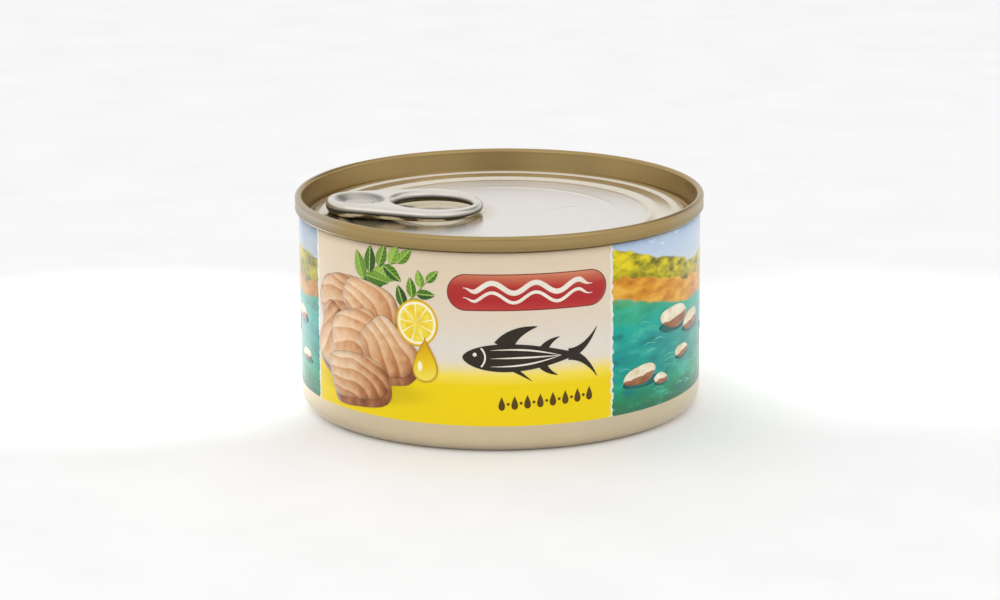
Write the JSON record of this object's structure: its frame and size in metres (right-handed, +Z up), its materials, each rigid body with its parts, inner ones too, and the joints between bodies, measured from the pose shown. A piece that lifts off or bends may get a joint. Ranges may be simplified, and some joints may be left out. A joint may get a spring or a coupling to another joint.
{
  "type": "tuna can",
  "caption": "Short round ring-pull food can: solid drawn body with a printed wall, seamed recessed lid, tilted pull tab with a finger hole, and rivet.",
  "frame": {"origin": "middle of the surface that the can stands on", "axes": "+Z up out of the lid, the pull tab on the -X side, the front of the printed wall towards -Y"},
  "size_m": [0.0866, 0.0866, 0.0454],
  "materials": {
    "printed_wall": "gloss litho print on tinplate, bare lacquered metal at the base",
    "lacquered_tin": "satin gold lacquer",
    "tab_metal": "satin",
    "rivet_metal": "satin"
  },
  "bodies": {
    "root": {"can_body": "printed_wall", "lid": "lacquered_tin", "pull_tab": "tab_metal", "rivet": "rivet_metal"}
  },
  "joints": []
}
